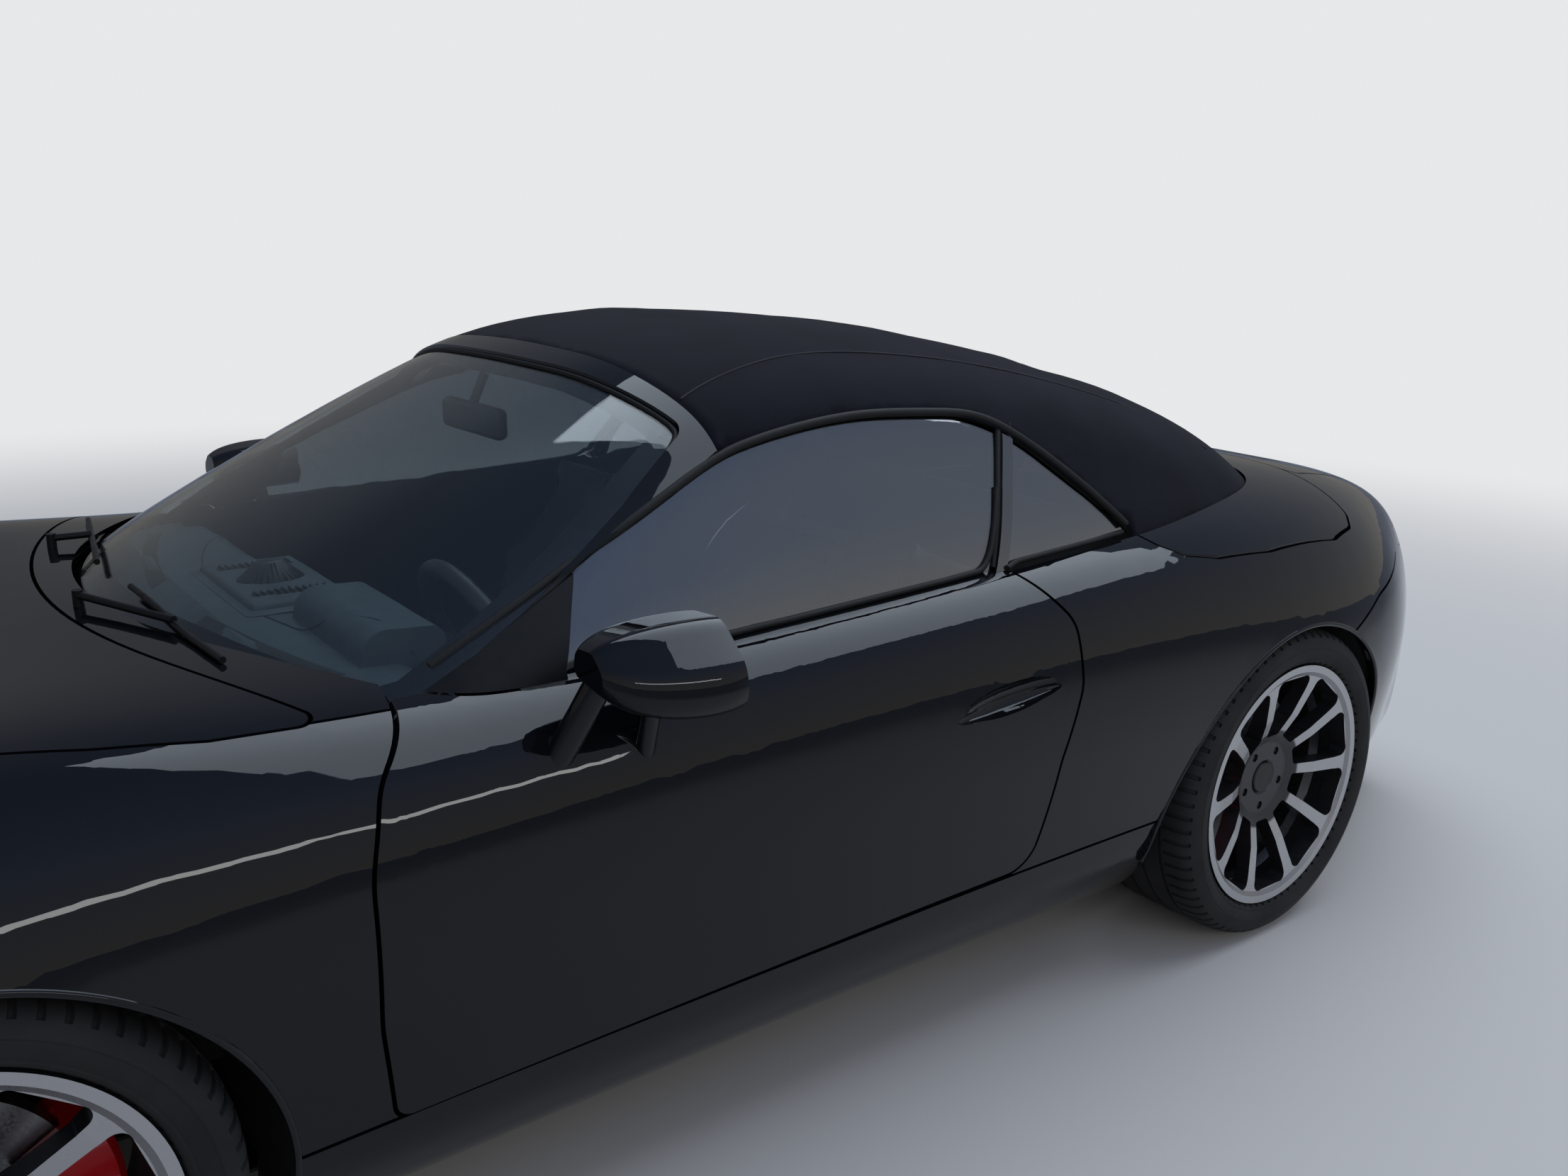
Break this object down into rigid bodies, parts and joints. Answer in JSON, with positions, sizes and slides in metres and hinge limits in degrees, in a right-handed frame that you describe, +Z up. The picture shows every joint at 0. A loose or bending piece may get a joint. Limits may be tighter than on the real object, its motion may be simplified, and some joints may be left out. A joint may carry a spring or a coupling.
{
  "type": "convertible car",
  "caption": "Low two-door sports convertible with closed fabric roof, rear engine, wide rear haunches, opening doors and lids, steered front wheels and rolling wheels.",
  "frame": {"origin": "on the ground, below the middle of the car's length and width", "axes": "+X to the car's nose, +Y to its left side, +Z up"},
  "size_m": [4.4908, 1.9748, 1.291],
  "materials": {
    "body_paint": "gloss black enamel under clear coat",
    "caliper_red": "red lacquer",
    "clear_glass": "laminated glass",
    "dash_plastic": "soft black dash skin",
    "disc_steel": "ground cast iron",
    "engine_alloy": "cast aluminium",
    "exhaust_steel": "brushed stainless",
    "frame_black": "satin black trim",
    "lamp_glass": "clear polycarbonate lens",
    "mirror_black": "gloss black cap",
    "rim_alloy": "machined and dark painted alloy",
    "roof_fabric": "woven black roof cloth",
    "seat_leather": "black leather",
    "shell_black": "painted pressed steel",
    "suspension_alloy": "cast aluminium",
    "tail_lamp_red": "red lens",
    "tinted_glass": "tinted safety glass",
    "tyre_rubber": "black rubber",
    "underbody_plastic": "moulded black plastic",
    "wheel_leather": "black leather rim",
    "wiper_black": "matt black"
  },
  "bodies": {
    "body": {"cowl_panel": "body_paint", "dashboard": "dash_plastic", "engine_block": "engine_alloy", "exhaust": "exhaust_steel", "floor_pan": "shell_black", "front_axle": "suspension_alloy", "front_bumper": "body_paint", "front_fenders": "body_paint", "front_seats": "seat_leather", "headlamps": "lamp_glass", "luggage_tub": "underbody_plastic", "quarter_windows": "tinted_glass", "rear_axle": "suspension_alloy", "rear_bumper": "body_paint", "rear_calipers": "caliper_red", "rear_quarters": "body_paint", "rear_seats": "seat_leather", "rear_window": "clear_glass", "sills": "body_paint", "soft_top": "roof_fabric", "tail_lamps": "tail_lamp_red", "top_cover_lid": "body_paint", "underbody": "underbody_plastic", "wheel_liners": "underbody_plastic", "windscreen": "clear_glass", "windscreen_frame": "frame_black", "wipers": "wiper_black"},
    "bonnet": {"bonnet": "body_paint"},
    "engine_lid": {"engine_lid": "body_paint"},
    "steering_wheel": {"steering_wheel": "wheel_leather"},
    "door_left": {"door_left": "body_paint", "door_glass_left": "tinted_glass", "door_sail_left": "frame_black", "mirror_left": "mirror_black"},
    "knuckle_left": {"knuckle_left": "suspension_alloy", "front_caliper_left": "caliper_red"},
    "wheel_front_left": {"tyre_front_left": "tyre_rubber", "rim_front_left": "rim_alloy", "brake_disc_front_left": "disc_steel"},
    "wheel_rear_left": {"tyre_rear_left": "tyre_rubber", "rim_rear_left": "rim_alloy", "brake_disc_rear_left": "disc_steel"},
    "door_right": {"door_right": "body_paint", "door_glass_right": "tinted_glass", "door_sail_right": "frame_black", "mirror_right": "mirror_black"},
    "knuckle_right": {"knuckle_right": "suspension_alloy", "front_caliper_right": "caliper_red"},
    "wheel_front_right": {"tyre_front_right": "tyre_rubber", "rim_front_right": "rim_alloy", "brake_disc_front_right": "disc_steel"},
    "wheel_rear_right": {"tyre_rear_right": "tyre_rubber", "rim_rear_right": "rim_alloy", "brake_disc_rear_right": "disc_steel"}
  },
  "joints": [
    {"name": "steer_left", "type": "hinge", "parent": "body", "child": "knuckle_left", "pos_m": [1.32, 0.742, 0.34], "axis": [0, 0, 1], "range_deg": [-33, 33]},
    {"name": "steer_right", "type": "hinge", "parent": "body", "child": "knuckle_right", "pos_m": [1.32, -0.742, 0.34], "axis": [0, 0, 1], "range_deg": [-33, 33]},
    {"name": "steering_wheel_turn", "type": "hinge", "parent": "body", "child": "steering_wheel", "pos_m": [0.43, 0.36, 0.75], "axis": [-0.9135, 0, 0.4067], "range_deg": [-462, 462]},
    {"name": "spin_front_left", "type": "hinge", "parent": "knuckle_left", "child": "wheel_front_left", "pos_m": [1.32, 0.757, 0.34], "axis": [0, 1, 0], "continuous": true},
    {"name": "spin_front_right", "type": "hinge", "parent": "knuckle_right", "child": "wheel_front_right", "pos_m": [1.32, -0.757, 0.34], "axis": [0, 1, 0], "continuous": true},
    {"name": "spin_rear_left", "type": "hinge", "parent": "body", "child": "wheel_rear_left", "pos_m": [-1.13, 0.748, 0.3425], "axis": [0, 1, 0], "continuous": true},
    {"name": "spin_rear_right", "type": "hinge", "parent": "body", "child": "wheel_rear_right", "pos_m": [-1.13, -0.748, 0.3425], "axis": [0, 1, 0], "continuous": true},
    {"name": "door_left_open", "type": "hinge", "parent": "body", "child": "door_left", "pos_m": [0.765, 0.845, 0.58], "axis": [0, 0, -1], "range_deg": [0, 65]},
    {"name": "door_right_open", "type": "hinge", "parent": "body", "child": "door_right", "pos_m": [0.765, -0.845, 0.58], "axis": [0, 0, 1], "range_deg": [0, 65]},
    {"name": "bonnet_open", "type": "hinge", "parent": "body", "child": "bonnet", "pos_m": [0.78, 0, 0.85], "axis": [0, -1, 0], "range_deg": [0, 50]},
    {"name": "engine_lid_open", "type": "hinge", "parent": "body", "child": "engine_lid", "pos_m": [-1.56, 0, 0.935], "axis": [0, 1, 0], "range_deg": [0, 50]}
  ],
  "couplings": [
    {"joint": "steer_right", "follows": "steer_left", "ratio": 1},
    {"joint": "steering_wheel_turn", "follows": "steer_left", "ratio": 14}
  ]
}
